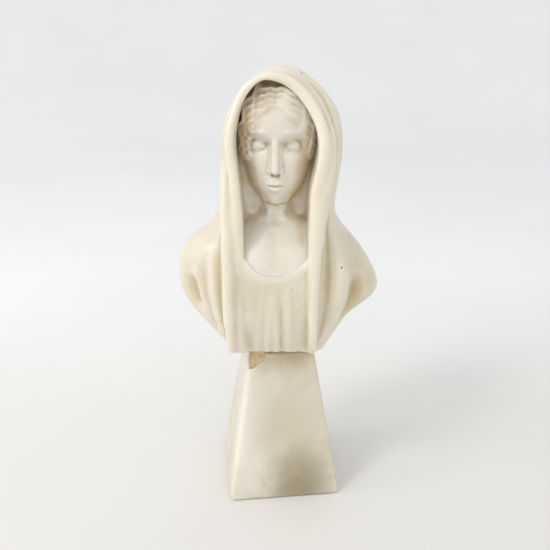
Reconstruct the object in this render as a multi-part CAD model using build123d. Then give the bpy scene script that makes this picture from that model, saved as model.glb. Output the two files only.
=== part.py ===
from build123d import *
import os
from math import cos, copysign, pi, sin

# Veiled bust on a tapered stone pedestal, as an assembly of its separate pieces.
#
# Frame: origin at the centre of the pedestal's underside, +Z up, the pedestal's front face towards
# -Y. The bust stands turned by a few degrees on its pedestal and is drawn in its own frame, then
# turned and lifted. All lengths are in millimetres.
#
# How the object comes apart: a draped torso of cream alabaster holds a white marble head and chest
# in a socket cut from the front, bedded in plaster and pegged with a brass dowel. A steel rod, set
# in plaster in the torso, passes through the pedestal to a washer and nut in a counterbore, which a
# poured plaster plug hides. A thin bed of old mastic lies between bust and pedestal and fills part
# of the chipped corner.

os.makedirs("parts", exist_ok=True)

# ---- pedestal ----
pedestal_base = 87.0  # side of the square foot
pedestal_top = 48.5  # side of the square top
pedestal_height = 118.0
pedestal_corner_radius = 2.2  # rubbed-down slanted corners
pedestal_rim_radius = 0.8  # rubbed-down foot and top edges
chip_radius = 20.0  # hollow of the broken front left corner
chip_outset = 9.5  # hollow's centre, out from the front face at the top
chip_side_outset = 3.5  # and out from the left face at the top
chip_rise = 6.0  # and above the top face
chip_fill_setback = 1.6  # old mastic in the chip stands this far inside the faces

# ---- mastic and plaster ----
mastic_thickness = 0.8
mastic_inset = 1.0  # the bed stops short of the pedestal's top edges
plaster_bed_thickness = 2.0  # between the head's flat back and its socket
plug_recess = 0.5  # the plug stays clear of what the foot stands on

# ---- fixing rod, washer and nut ----
rod_radius = 4.0
rod_end_clearance = 3.0  # rod's lower end above the plug's face
rod_depth_in_bust = 42.0
rod_hole_clearance = 1.0  # around the rod in the pedestal
anchor_hole_radius = 7.5  # plaster-filled hole in the torso
anchor_hole_overrun = 2.0  # the hole is drilled this much deeper than the rod reaches
thread_clearance = 0.05  # nut's bore over the rod's radius
nut_across_flats = 13.0
nut_height = 6.5
nut_chamfer = 0.6
washer_radius = 12.0
washer_thickness = 2.0
washer_clearance = 0.2  # washer's bore over the rod's radius
counterbore_clearance = 2.0  # counterbore's radius over the washer's
counterbore_spare = 2.0  # rod standing out below the nut

# ---- bust as a whole ----
bust_height = 203.6  # from the sawn underside to the crown of the veil
bust_width = 149.0  # across the shoulders
bust_depth = 84.0  # front to back of the veil
bust_turn = -6.4  # degrees about +Z, from square on the pedestal

# ---- socket, head and dowel ----
socket_back = 8.0  # plane of the socket's flat back wall, behind the bust's axis
socket_clearance = 0.4  # around the head and chest in the socket
dowel_radius = 2.5
dowel_in_head = 12.0
dowel_in_torso = 16.0
dowel_level = 0.47  # of the bust's height

# Cross-sections of the draped torso, as shares of the bust's height, half width and half depth:
# level, left, right, front, back, and how square the section is (2 is an ellipse).
TORSO_SECTIONS = [
    (0.000, 0.475, 0.455, 0.66, 0.62, 6.0),
    (0.040, 0.620, 0.590, 0.80, 0.70, 4.0),
    (0.090, 0.780, 0.720, 0.92, 0.78, 3.2),
    (0.160, 0.910, 0.910, 1.00, 0.84, 2.7),
    (0.230, 0.990, 0.990, 1.03, 0.90, 2.4),
    (0.300, 1.000, 0.950, 1.03, 0.92, 2.3),
    (0.365, 0.970, 0.830, 1.00, 0.92, 2.3),
    (0.420, 0.850, 0.700, 0.97, 0.92, 2.3),
    (0.465, 0.680, 0.590, 0.95, 0.92, 2.3),
    (0.510, 0.600, 0.540, 0.93, 0.92, 2.3),
    (0.600, 0.580, 0.560, 0.92, 0.95, 2.3),
    (0.700, 0.560, 0.595, 0.92, 1.00, 2.3),
    (0.790, 0.520, 0.590, 0.90, 0.98, 2.2),
    (0.860, 0.440, 0.530, 0.84, 0.90, 2.1),
    (0.920, 0.340, 0.410, 0.70, 0.74, 2.0),
    (0.965, 0.210, 0.270, 0.46, 0.50, 2.0),
    (1.000, 0.060, 0.080, 0.10, 0.12, 2.0),
]

# Bands of the veil that hang in front of the shoulders, proud of the dress: level, centre across,
# front face, and half the band's width.
LEFT_LAPPET = [
    (0.020, -0.370, 0.72, 0.085),
    (0.160, -0.385, 1.04, 0.100),
    (0.300, -0.405, 1.08, 0.105),
    (0.450, -0.415, 1.04, 0.105),
    (0.600, -0.425, 0.93, 0.095),
    (0.720, -0.440, 0.80, 0.080),
    (0.810, -0.400, 0.52, 0.050),
]
RIGHT_LAPPET = [
    (0.020, 0.320, 0.72, 0.075),
    (0.160, 0.325, 1.04, 0.080),
    (0.300, 0.335, 1.08, 0.085),
    (0.450, 0.365, 1.04, 0.095),
    (0.600, 0.395, 0.93, 0.095),
    (0.720, 0.430, 0.80, 0.080),
    (0.810, 0.420, 0.52, 0.050),
]
LAPPET_ROOT = 0.30  # how far behind its front face a lappet is rooted in the torso

# Outline of the veil's opening, seen from the front: share of half width, level. It runs from the
# left end of the neckline up over the crown and down to the right end.
OPENING_OUTLINE = [
    (-0.330, 0.380),
    (-0.335, 0.536),
    (-0.390, 0.735),
    (-0.270, 0.915),
    (-0.040, 0.955),
    (0.190, 0.900),
    (0.345, 0.780),
    (0.285, 0.575),
    (0.260, 0.380),
]
NECKLINE_LOW = (-0.035, 0.330)
OPENING_CENTRE = (-0.035, 0.640)

# Head and chest: level, half width, front and back of each section of the neck and chest.
CHEST_SECTIONS = [
    (0.320, 0.420, 0.86, 0.40),
    (0.380, 0.420, 0.82, 0.40),
    (0.430, 0.390, 0.70, 0.40),
    (0.475, 0.280, 0.46, 0.40),
    (0.520, 0.215, 0.36, 0.40),
    (0.600, 0.200, 0.36, 0.40),
    (0.700, 0.190, 0.40, 0.40),
]
HEAD_AXIS = -0.020  # head's centre, share of half width
SKULL = {"level": 0.785, "front_back": -0.07, "half": (0.325, 0.70), "tall": 0.165}
JAW = {"level": 0.685, "front_back": -0.30, "half": (0.260, 0.48), "tall": 0.105}
NOSE = {"bridge": 0.770, "tip": 0.700, "half": 0.045, "root": -0.66, "out": -0.90}

CHEST_SQUARENESS = 2.2
LAPPET_SQUARENESS = 2.0
SECTION_POINTS = 20  # points on each closed section curve
SEGMENT = 2 * pi / SECTION_POINTS
cut_overrun = 1.0  # a cutting shape reaches this far past the faces that it opens

bust_base = pedestal_height + mastic_thickness
counterbore_radius = washer_radius + counterbore_clearance
counterbore_depth = (
    plug_recess + rod_end_clearance + counterbore_spare + nut_height + washer_thickness
)
rod_bottom = plug_recess + rod_end_clearance
rod_top = bust_base + rod_depth_in_bust
head_back = socket_back - plaster_bed_thickness


def across(share):
    return share * bust_width / 2


def along(share):
    return share * bust_depth / 2


def level(share):
    return share * bust_height


def place_on_pedestal(shape):
    """Turns and lifts a shape of the bust from its own frame onto the pedestal."""
    return Pos(0, 0, bust_base) * Rot(0, 0, bust_turn) * shape


def section(height, left, right, front, back, squareness):
    """Closed, rounded section with its own reach to each of the four sides."""
    points = []
    for k in range(SECTION_POINTS):
        c, s = cos(k * SEGMENT), sin(k * SEGMENT)
        reach_x = right if c > 0 else left
        reach_y = back if s > 0 else front
        x = copysign(abs(c) ** (2 / squareness), c) * reach_x
        y = copysign(abs(s) ** (2 / squareness), s) * reach_y
        points.append((x, y, height))
    return make_face(Spline(*points, periodic=True).edges())


def upright_cylinder(radius, bottom, top):
    return Pos(0, 0, bottom) * Cylinder(
        radius, top - bottom, align=(Align.CENTER, Align.CENTER, Align.MIN)
    )


def cylinder_along_y(radius, front, back, x, z):
    return Pos(x, back, z) * Rot(90, 0, 0) * Cylinder(
        radius, back - front, align=(Align.CENTER, Align.CENTER, Align.MIN)
    )


def ellipsoid(centre, reach):
    return Pos(*centre) * scale(Sphere(1), by=reach)


# ---- pedestal ----
def tapered_block(inset, rise=0.0):
    """The pedestal's outer block, with its four faces moved in by inset."""
    foot = Rectangle(pedestal_base - 2 * inset, pedestal_base - 2 * inset)
    head = Rectangle(pedestal_top - 2 * inset, pedestal_top - 2 * inset)
    return loft([foot, Pos(0, 0, pedestal_height + rise) * head])


def chip_hollow():
    half = pedestal_top / 2
    centre = (-half - chip_side_outset, -half - chip_outset, pedestal_height + chip_rise)
    return Pos(*centre) * Sphere(chip_radius)


def make_pedestal():
    block = tapered_block(0)
    slanted_edges = block.edges().group_by(Axis.Z)[1]
    block = fillet(slanted_edges, pedestal_corner_radius)
    rims = block.edges().group_by(Axis.Z)
    block = fillet(rims[0] + rims[-1], pedestal_rim_radius)
    rod_hole_top = pedestal_height + cut_overrun
    block -= upright_cylinder(rod_radius + rod_hole_clearance, -cut_overrun, rod_hole_top)
    block -= upright_cylinder(counterbore_radius, -cut_overrun, counterbore_depth)
    return block - chip_hollow()


def make_mastic():
    side = pedestal_top - 2 * mastic_inset
    bed = Pos(0, 0, pedestal_height) * extrude(Rectangle(side, side), mastic_thickness)
    bed -= chip_hollow()
    fill = tapered_block(chip_fill_setback) & chip_hollow()
    fill = fill & upright_cylinder(pedestal_base, 0, pedestal_height)
    cover = tapered_block(chip_fill_setback, mastic_thickness) & chip_hollow()
    cover = cover & upright_cylinder(pedestal_base, pedestal_height, bust_base)
    bore = upright_cylinder(rod_radius + rod_hole_clearance, 0, bust_base + cut_overrun)
    return bed + fill + cover - bore


# ---- fixing ----
def make_rod():
    rod = upright_cylinder(rod_radius, rod_bottom, rod_top)
    return chamfer(rod.edges().filter_by(GeomType.CIRCLE), nut_chamfer)


def make_washer():
    top = counterbore_depth
    ring = upright_cylinder(washer_radius, top - washer_thickness, top)
    return ring - upright_cylinder(rod_radius + washer_clearance, 0, top + cut_overrun)


def make_nut():
    top = counterbore_depth - washer_thickness
    flat = RegularPolygon(nut_across_flats / 2, 6, major_radius=False)
    nut = Pos(0, 0, top - nut_height) * extrude(flat, nut_height)
    nut = chamfer(nut.faces().sort_by(Axis.Z)[0].edges(), nut_chamfer)
    return nut - upright_cylinder(rod_radius + thread_clearance, 0, top + cut_overrun)


def make_plug(rod, washer, nut):
    poured = upright_cylinder(counterbore_radius, plug_recess, counterbore_depth)
    return solid_only(poured - rod - washer - nut)


def make_rod_anchor(rod):
    hole_top = rod_top + anchor_hole_overrun
    return upright_cylinder(anchor_hole_radius, bust_base, hole_top) - rod


# ---- bust, in its own frame ----
def opening_face(inset):
    """Outline of the veil's opening, moved in by inset, standing in the XZ plane."""
    centre = Vector(across(OPENING_CENTRE[0]), level(OPENING_CENTRE[1]))
    points = []
    for x, z in OPENING_OUTLINE + [NECKLINE_LOW]:
        point = Vector(across(x), level(z))
        points.append(point + (centre - point).normalized() * inset)
    low = points.pop()
    edge = Spline(*points) + ThreePointArc(points[-1], low, points[0])
    return Plane.XZ * make_face(edge.edges())


def opening_prism(inset, front, back):
    """The opening's outline pushed from front to back along Y."""
    return extrude(Pos(0, back, 0) * opening_face(inset), back - front)


def make_lappet(stations):
    bands = []
    for at, centre, front, half in stations:
        root = along(LAPPET_ROOT)
        reach = across(half)
        band = section(level(at), reach, reach, root, root, LAPPET_SQUARENESS)
        bands.append(Pos(across(centre), root - along(front), 0) * band)
    return loft(bands)


def make_torso():
    sections = [
        section(level(at), across(left), across(right), along(front), along(back), square)
        for at, left, right, front, back, square in TORSO_SECTIONS
    ]
    torso = loft(sections) + make_lappet(LEFT_LAPPET) + make_lappet(RIGHT_LAPPET)
    torso -= opening_prism(0, -bust_depth, socket_back)
    anchor_top = rod_depth_in_bust + anchor_hole_overrun
    torso -= upright_cylinder(anchor_hole_radius, -cut_overrun, anchor_top)
    return torso - make_dowel()


def make_head():
    rings = []
    for at, half, front, back in CHEST_SECTIONS:
        reach = across(half)
        rings.append(
            section(level(at), reach, reach, along(front), along(back), CHEST_SQUARENESS)
        )
    shape = Pos(across(HEAD_AXIS), 0, 0) * loft(rings)
    for lump in (SKULL, JAW):
        centre = (across(HEAD_AXIS), along(lump["front_back"]), level(lump["level"]))
        reach = (across(lump["half"][0]), along(lump["half"][1]), level(lump["tall"]))
        shape += ellipsoid(centre, reach)
    shape += nose_wedge()
    shape = shape & opening_prism(socket_clearance, -bust_depth, head_back)
    return solid_only(shape - make_dowel())


def nose_wedge():
    half = across(NOSE["half"])
    x = across(HEAD_AXIS)
    root, out = along(NOSE["root"]), along(NOSE["out"])
    profile = Polyline(
        (root / 2, level(NOSE["bridge"])),
        (root, level(NOSE["bridge"])),
        (out, level(NOSE["tip"])),
        (root / 2, level(NOSE["tip"])),
        close=True,
    )
    side = Plane.YZ * make_face(profile.edges())
    return Pos(x - half, 0, 0) * extrude(side, 2 * half)


def make_dowel():
    return cylinder_along_y(
        dowel_radius,
        head_back - dowel_in_head,
        socket_back + dowel_in_torso,
        across(HEAD_AXIS),
        level(dowel_level),
    )


def make_plaster_bed():
    bed = opening_prism(socket_clearance, head_back, socket_back)
    return bed - make_dowel()


def solid_only(shape):
    """The largest solid, where trimming has left crumbs beside it."""
    return shape.solids().sort_by(SortBy.VOLUME)[-1]


rod = make_rod()
washer = make_washer()
nut = make_nut()
pieces = {
    "pedestal": make_pedestal(),
    "joint_mastic": make_mastic(),
    "fixing_rod": rod,
    "rod_washer": washer,
    "rod_nut": nut,
    "pedestal_plaster_plug": make_plug(rod, washer, nut),
    "rod_anchor_plaster": make_rod_anchor(rod),
    "veiled_torso": place_on_pedestal(make_torso()),
    "head_and_chest": place_on_pedestal(make_head()),
    "head_plaster_bed": place_on_pedestal(make_plaster_bed()),
    "head_dowel": place_on_pedestal(make_dowel()),
}
for name, piece in pieces.items():
    export_step(piece, f"parts/{name}.step")
    box = piece.bounding_box()
    print(name, "solids", len(piece.solids()), "volume", round(piece.volume), box.size)
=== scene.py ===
import math
import bpy
import numpy as np
from mathutils import Matrix, Vector, noise
from mathutils.bvhtree import BVHTree
from mathutils.kdtree import KDTree


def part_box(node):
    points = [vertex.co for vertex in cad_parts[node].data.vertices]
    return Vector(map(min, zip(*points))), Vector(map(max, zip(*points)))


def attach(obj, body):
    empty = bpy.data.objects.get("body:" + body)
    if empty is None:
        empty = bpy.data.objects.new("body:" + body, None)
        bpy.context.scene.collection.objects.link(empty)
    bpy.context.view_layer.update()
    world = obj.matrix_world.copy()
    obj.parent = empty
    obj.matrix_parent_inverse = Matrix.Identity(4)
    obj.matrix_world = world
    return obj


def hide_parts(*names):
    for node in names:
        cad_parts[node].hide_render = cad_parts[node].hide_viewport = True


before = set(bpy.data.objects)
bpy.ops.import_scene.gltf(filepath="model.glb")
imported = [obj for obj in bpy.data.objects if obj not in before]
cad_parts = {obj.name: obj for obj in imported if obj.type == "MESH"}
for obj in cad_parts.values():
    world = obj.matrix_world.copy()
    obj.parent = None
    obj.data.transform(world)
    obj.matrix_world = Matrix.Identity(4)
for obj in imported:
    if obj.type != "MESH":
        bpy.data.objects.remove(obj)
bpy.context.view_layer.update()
print("frame loaded")

# The bust is carved at drawing scale, one unit to a millimetre: x to the right of someone who faces
# it, y to the back, z up from its sawn underside. seatBust then sets it on the pedestal.
torsoLow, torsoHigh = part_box("veiled_torso")
drawnHeight = 203.6
bustTurn = math.radians(-6.4)  # as the bust stands on its pedestal


def pickOnly(piece):
    bpy.ops.object.select_all(action="DESELECT")
    piece.select_set(True)
    bpy.context.view_layer.objects.active = piece


def applyModifier(piece, kind, **settings):
    pickOnly(piece)
    modifier = piece.modifiers.new(kind, kind)
    for key, value in settings.items():
        setattr(modifier, key, value)
    bpy.ops.object.modifier_apply(modifier=modifier.name)


def remesh(piece, grain, softening):
    applyModifier(piece, "REMESH", mode="VOXEL", voxel_size=grain)
    if softening:
        applyModifier(piece, "SMOOTH", factor=0.5, iterations=softening)


def copyOf(piece):
    twin = piece.copy()
    twin.data = piece.data.copy()
    bpy.context.scene.collection.objects.link(twin)
    return twin


def joinInto(piece, others):
    pickOnly(piece)
    for other in others:
        other.select_set(True)
    bpy.ops.object.join()


def thin(piece, mostTriangles):  # fewer faces where the surface is plain
    triangles = sum(len(face.vertices) - 2 for face in piece.data.polygons)
    if triangles > mostTriangles:
        applyModifier(piece, "DECIMATE", ratio=mostTriangles / triangles)


def keepLargest(piece):  # drops crumbs that a cut leaves
    pickOnly(piece)
    bpy.ops.object.mode_set(mode="EDIT")
    bpy.ops.mesh.select_all(action="SELECT")
    bpy.ops.mesh.separate(type="LOOSE")
    bpy.ops.object.mode_set(mode="OBJECT")
    crumbs = [other for other in bpy.context.selected_objects if other != piece]
    largest = max(crumbs + [piece], key=lambda other: len(other.data.vertices))
    piece.data, largest.data = largest.data, piece.data
    for crumb in crumbs:
        bpy.data.objects.remove(crumb)


def cutWith(piece, cutter, operation="DIFFERENCE"):
    applyModifier(piece, "BOOLEAN", object=cutter, operation=operation, solver="MANIFOLD")
    bpy.data.objects.remove(cutter)


def readPoints(mesh, what="co"):
    values = np.empty(len(mesh.vertices) * 3)
    mesh.vertices.foreach_get(what, values)
    return values.reshape(-1, 3)


def writePoints(mesh, points):
    mesh.vertices.foreach_set("co", points.ravel())
    mesh.update()


def smoothPath(points, step):  # an even run of points on a curve through the given ones
    p = np.array(points, float)
    if len(p) == 1:
        return p
    p = np.vstack([2 * p[0] - p[1], p, 2 * p[-1] - p[-2]])
    run = []
    for a, b, c, d in zip(p, p[1:], p[2:], p[3:]):
        count = max(2, int(np.linalg.norm(c - b) / step))
        t = np.linspace(0, 1, count, endpoint=False)[:, None]
        curve = 2 * b + (c - a) * t + (2 * a - 5 * b + 4 * c - d) * t**2 + (3 * b - a - 3 * c + d) * t**3
        run.append(curve / 2)
    run.append(p[-2][None])
    return np.vstack(run)


def stationAt(stations, height):  # the section at a height, smoothly between the listed ones
    table = np.array(stations, float)
    heights = table[:, 0]
    slopes = np.gradient(table, heights, axis=0)
    k = int(np.clip(np.searchsorted(heights, height) - 1, 0, len(heights) - 2))
    span = heights[k + 1] - heights[k]
    t = (height - heights[k]) / span
    return (
        (2 * t**3 - 3 * t**2 + 1) * table[k]
        + (t**3 - 2 * t**2 + t) * span * slopes[k]
        + (3 * t**2 - 2 * t**3) * table[k + 1]
        + (t**3 - t**2) * span * slopes[k + 1]
    )


def blockOut(name, stations, around, rings):
    bpy.ops.object.select_all(action="DESELECT")
    bpy.ops.mesh.primitive_circle_add(vertices=around, radius=1, fill_type="NGON")
    piece = bpy.context.object
    piece.name = name
    bpy.ops.object.mode_set(mode="EDIT")
    bpy.ops.mesh.select_all(action="SELECT")
    for _ in range(rings):
        bpy.ops.mesh.extrude_region_move(TRANSFORM_OT_translate={"value": (0, 0, 1)})
    bpy.ops.mesh.select_all(action="SELECT")
    bpy.ops.mesh.normals_make_consistent(inside=False)
    bpy.ops.object.mode_set(mode="OBJECT")
    points = readPoints(piece.data)
    ringOf = np.rint(points[:, 2]).astype(int)
    low, high = stations[0][0], stations[-1][0]
    for ring in range(rings + 1):
        on = ringOf == ring
        height = low + (high - low) * ring / rings
        _, left, right, front, back, square, x, y = stationAt(stations, height)
        cos, sin = points[on, 0], points[on, 1]
        reachX = np.where(cos > 0, right, left)
        reachY = np.where(sin > 0, back, front)
        bulge = 2 / square
        points[on, 0] = x + np.sign(cos) * np.abs(cos) ** bulge * reachX
        points[on, 1] = y + np.sign(sin) * np.abs(sin) ** bulge * reachY
        points[on, 2] = height
    writePoints(piece.data, points)
    return piece


def roll(name, path, radii):  # a rolled edge: a tube whose thickness changes along it
    curve = bpy.data.curves.new(name, "CURVE")
    curve.dimensions = "3D"
    curve.bevel_depth = 1.0
    curve.bevel_resolution = 6
    curve.use_fill_caps = True
    run = smoothPath(path, min(3.0, max(radii)))
    share = np.linspace(0, 1, len(run))
    spline = curve.splines.new("POLY")
    spline.points.add(len(run) - 1)
    thick = np.interp(share, np.linspace(0, 1, len(radii)), radii)
    for point, place, radius in zip(spline.points, run, thick):
        point.co = (*place, 1)
        point.radius = radius
    piece = bpy.data.objects.new(name, curve)
    bpy.context.scene.collection.objects.link(piece)
    pickOnly(piece)
    bpy.ops.object.convert(target="MESH")
    return bpy.context.object


def ball(at, radius):
    bpy.ops.object.select_all(action="DESELECT")
    bpy.ops.mesh.primitive_uv_sphere_add(segments=40, ring_count=24, radius=radius)
    piece = bpy.context.object
    piece.data.transform(Matrix.Translation(at))
    return piece


viewAxes = {"front": (0, 1, 1), "back": (0, 1, -1), "left": (1, 0, 1), "right": (1, 0, -1)}


def castOn(tree, path, view, step):  # a path seen from one side, laid on the surface
    across, depth, sign = viewAxes[view]
    toward = np.zeros(3)
    toward[depth] = sign
    route = []
    for a, up in smoothPath(path, step):
        origin = np.zeros(3)
        origin[across], origin[2], origin[depth] = a, up, -sign * 300
        place, normal, _, _ = tree.ray_cast(Vector(origin), Vector(toward))
        if place is not None:
            route.append((*place, *normal))
    return np.array(route), toward, depth


def nearestOn(route, points, counted):  # how far each point is from a route, and how far along it lies
    starts, spans = route[:-1], np.diff(route, axis=0)
    lengths = np.linalg.norm(spans, axis=1)
    ahead = np.r_[0, np.cumsum(lengths)]
    nearest = np.full(len(points), 1e9)
    along = np.zeros(len(points))
    for start, span, length, passed in zip(starts, spans * counted, lengths, ahead):
        offset = (points - start) * counted
        t = np.clip(offset @ span / max(span @ span, 1e-12), 0, 1)
        gap = ((offset - t[:, None] * span) ** 2).sum(1)
        closer = gap < nearest
        nearest[closer] = gap[closer]
        along[closer] = (passed + t * length)[closer]
    return np.sqrt(nearest), along / max(ahead[-1], 1e-9)


def easeIn(t):
    t = np.clip(t, 0, 1)
    return t * t * (3 - 2 * t)


def stroke(path, width, height, fade=(0, 0), **more):  # fade: shares of its length at both ends
    return {"path": path, "width": width, "height": height, "fade": fade, **more}


def carve(piece, strokes):  # each stroke raises or lowers the surface along a path seen from one side
    mesh = piece.data
    bpy.context.view_layer.update()
    tree = BVHTree.FromObject(piece, bpy.context.evaluated_depsgraph_get())
    points, normals = readPoints(mesh), readPoints(mesh, "normal")
    move = np.zeros_like(points)
    for each in strokes:
        widths = np.atleast_1d(each["width"])
        heights = np.atleast_1d(each["height"])
        route, toward, depth = castOn(tree, each["path"], each.get("view", "front"), widths.min())
        if not len(route):
            continue
        route = route[:, :3]
        if len(route) == 1:
            route = np.vstack([route, route])
        counted = np.ones(3)
        byView = each.get("push") == "view"
        if byView:
            counted[depth] = 0  # measured as seen, so a steep side is carved like a flat one
        reach = 2.6 * widths.max()
        near = ((points > route.min(0) - reach) & (points < route.max(0) + reach)).all(1)
        chosen = np.nonzero(near & (normals @ toward < 0.3))[0]
        if not len(chosen):
            continue
        nearest, along = nearestOn(route, points[chosen], counted)
        width = np.interp(along, np.linspace(0, 1, len(widths)), widths)
        height = np.interp(along, np.linspace(0, 1, len(heights)), heights)
        shape = np.exp(-((nearest / width) ** 2))
        begin, end = each["fade"]
        if begin:
            shape *= easeIn(along / begin)
        if end:
            shape *= easeIn((1 - along) / end)
        way = -toward if byView else normals[chosen]
        move[chosen] += (height * shape)[:, None] * way
    writePoints(mesh, points + move)


# The hollow attribute drives painted shade deep in folds, a painted highlight on proud edges, and duller
# stone in folds.
def markHollows(piece, rounds, depth):  # an attribute for the stone: 0 on proud edges, 1 deep in a fold
    mesh = piece.data
    points, normals = readPoints(mesh), readPoints(mesh, "normal")
    ends = np.empty(len(mesh.edges) * 2, np.int32)
    mesh.edges.foreach_get("vertices", ends)
    here, there = ends[0::2], ends[1::2]
    count = np.bincount(ends, minlength=len(points))
    soft = points.copy()
    for _ in range(rounds):
        for axis in range(3):
            column = soft[:, axis]
            total = np.bincount(here, column[there], len(points))
            total += np.bincount(there, column[here], len(points))
            soft[:, axis] = 0.5 * column + 0.5 * total / np.maximum(count, 1)
    sunk = ((soft - points) * normals).sum(1)
    mark = mesh.attributes.new("hollow", "FLOAT", "POINT")
    mark.data.foreach_set("value", np.clip(0.5 + 0.5 * sunk / depth, 0, 1))


# The shelter attribute drives painted shade where the folds hide the sky.
def markShelter(pieces, grain, reach, rayCount):  # an attribute: how much of the sky the folds hide
    copies = [copyOf(piece) for piece in pieces]
    joinInto(copies[0], copies[1:])
    remesh(copies[0], grain, 0)
    tree = BVHTree.FromObject(copies[0], bpy.context.evaluated_depsgraph_get())
    points, normals = readPoints(copies[0].data), readPoints(copies[0].data, "normal")
    turn = np.arange(rayCount)
    height = 1 - (2 * turn + 1) / rayCount
    angle = turn * math.pi * (3 - math.sqrt(5))
    level = np.sqrt(1 - height**2)
    rays = np.column_stack([level * np.cos(angle), level * np.sin(angle), height])
    hidden = np.zeros(len(points))
    facing = normals @ rays.T
    starts = points + normals * grain
    directions = [Vector(ray) for ray in rays]
    for k, start in enumerate(starts):
        origin = Vector(start)
        seen = np.nonzero(facing[k] > 0.1)[0]
        for ray in seen:
            if tree.ray_cast(origin, directions[ray], reach)[0] is not None:
                hidden[k] += facing[k, ray]
        hidden[k] /= facing[k, seen].sum()
    places = KDTree(len(points))
    for k, point in enumerate(points):
        places.insert(point, k)
    places.balance()
    bpy.data.objects.remove(copies[0])
    for piece in pieces:
        values = []
        for point in readPoints(piece.data):
            found = places.find_n(point, 3)
            values.append(sum(hidden[k] for _, k, _ in found) / len(found))
        mark = piece.data.attributes.new("shelter", "FLOAT", "POINT")
        mark.data.foreach_set("value", values)


def finishPiece(piece, replaced):
    pickOnly(piece)
    bpy.ops.object.shade_smooth()
    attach(piece, "root")
    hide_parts(replaced)
    print(piece.name, "finished:", sum(len(face.vertices) - 2 for face in piece.data.polygons),
          "triangles")


def seatBust(piece):  # from drawing scale to its place on the pedestal, in metres
    scale = (torsoHigh.z - torsoLow.z) / drawnHeight
    seat = Matrix.Translation((0, 0, torsoLow.z)) @ Matrix.Rotation(bustTurn, 4, "Z")
    piece.data.transform(seat @ Matrix.Scale(scale, 4))
    piece.data.update()


# The veil, shoulders and dress come from one block.
torsoBlock = {
    "around": 150,
    "rings": 110,
    # height, reach to left, right, front and back, how square, and the middle's place across and back
    "stations": [
        (0.0, 35.5, 34.0, 27.5, 26.0, 6.0, 0, 0),
        (4.0, 39.5, 37.0, 29.5, 27.5, 4.0, 0, 0),
        (9.0, 46.0, 41.5, 32.5, 30.0, 3.0, 0, 0.5),
        (16.0, 53.0, 46.5, 36.5, 33.0, 2.5, 0, 1.0),
        (24.0, 60.5, 52.5, 40.0, 35.0, 2.25, 0, 1.0),
        (33.0, 67.5, 62.0, 42.0, 37.0, 2.15, 0, 1.0),
        (41.0, 72.0, 71.9, 42.6, 38.0, 2.1, 0, 0.8),
        (47.0, 73.7, 74.4, 42.8, 38.3, 2.15, 0, 0.5),
        (55.0, 74.5, 72.6, 43.0, 38.5, 2.2, 0, 0.2),
        (66.0, 74.0, 67.3, 42.5, 38.5, 2.3, 0, 0),
        (76.0, 70.5, 60.3, 41.5, 38.5, 2.3, 0, 0),
        (84.0, 62.5, 53.5, 40.5, 38.5, 2.3, 0, 0),
        (92.0, 51.5, 46.5, 39.5, 38.5, 2.3, 0, 0),
        (101.0, 45.0, 41.2, 39.0, 38.5, 2.3, 0, 0),
        (112.0, 43.8, 40.8, 38.5, 39.0, 2.3, 0, 0),
        (124.0, 43.0, 42.2, 38.5, 40.0, 2.3, 0, 0),
        (142.0, 41.3, 44.2, 38.5, 41.3, 2.3, 0, 0),
        (155.0, 40.0, 44.2, 38.0, 41.4, 2.25, 0, 0),
        (165.0, 38.2, 42.8, 36.5, 40.5, 2.2, 0, 0),
        (174.0, 34.6, 40.0, 34.0, 38.0, 2.15, 0, 0),
        (184.0, 28.5, 33.4, 29.5, 33.5, 2.1, 0, 0),
        (192.0, 22.0, 25.6, 24.0, 27.0, 2.0, 0, 0),
        (198.0, 14.8, 17.5, 17.0, 19.0, 2.0, 0, 0),
        (201.6, 8.0, 10.5, 10.0, 11.0, 2.0, 0, 0),
        (203.2, 1.5, 4.0, 3.0, 3.0, 2.0, 0, 0),
    ],
    "opening": [  # the veil's opening, seen from the front
        (-24.2, 78), (-24.4, 95), (-25.0, 112), (-26.5, 130), (-28.8, 150), (-27.6, 166), (-21.8, 184),
        (-12.0, 194), (-2.0, 193.5), (8.0, 188), (17.0, 178), (23.5, 166), (25.6, 154), (24.0, 140),
        (20.8, 125), (20.0, 108), (19.6, 92), (19.0, 78), (9.0, 70), (-3.0, 67), (-15.0, 70),
    ],
    "openingDepth": 8.0,
    "pinholes": [  # across, up, half width and half height
        (15.0, 198.2, 1.0, 0.8), (43.5, 70.0, 0.75, 0.7), (3.8, 202.4, 0.45, 0.3),
        (-52.0, 47.0, 0.4, 0.4), (-25.2, 146, 0.55, 3.2), (-24.0, 128, 0.55, 2.8),
    ],
    "roughGrain": 1.1,
    "grain": 0.95,
    "softening": {"rough": 6, "opened": 9, "carved": 6},
    "mostTriangles": 190000,
}


def cutOpening(outline, front, back):  # a bar with the opening's outline, pushed through from the front
    run = smoothPath(outline + outline[:1], 2.0)[:-1]
    bpy.ops.object.select_all(action="DESELECT")
    bpy.ops.mesh.primitive_circle_add(vertices=len(run), radius=1, fill_type="NGON")
    bar = bpy.context.object
    points = readPoints(bar.data)
    points[:, 0], points[:, 1], points[:, 2] = run[:, 0], front, run[:, 1]
    writePoints(bar.data, points)
    bpy.ops.object.mode_set(mode="EDIT")
    bpy.ops.mesh.select_all(action="SELECT")
    bpy.ops.mesh.extrude_region_move(TRANSFORM_OT_translate={"value": (0, back - front, 0)})
    bpy.ops.mesh.select_all(action="SELECT")
    bpy.ops.mesh.normals_make_consistent(inside=False)
    bpy.ops.object.mode_set(mode="OBJECT")
    return bar


def inset(outline, gap):  # the outline moved in by a gap, or out if it is below 0, along its own normals
    run = np.array(outline, float)
    way = np.roll(run, -1, axis=0) - np.roll(run, 1, axis=0)
    way /= np.linalg.norm(way, axis=1)[:, None]
    return [(a + gap * up, b - gap * across) for (a, b), (across, up) in zip(run, way)]


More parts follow.
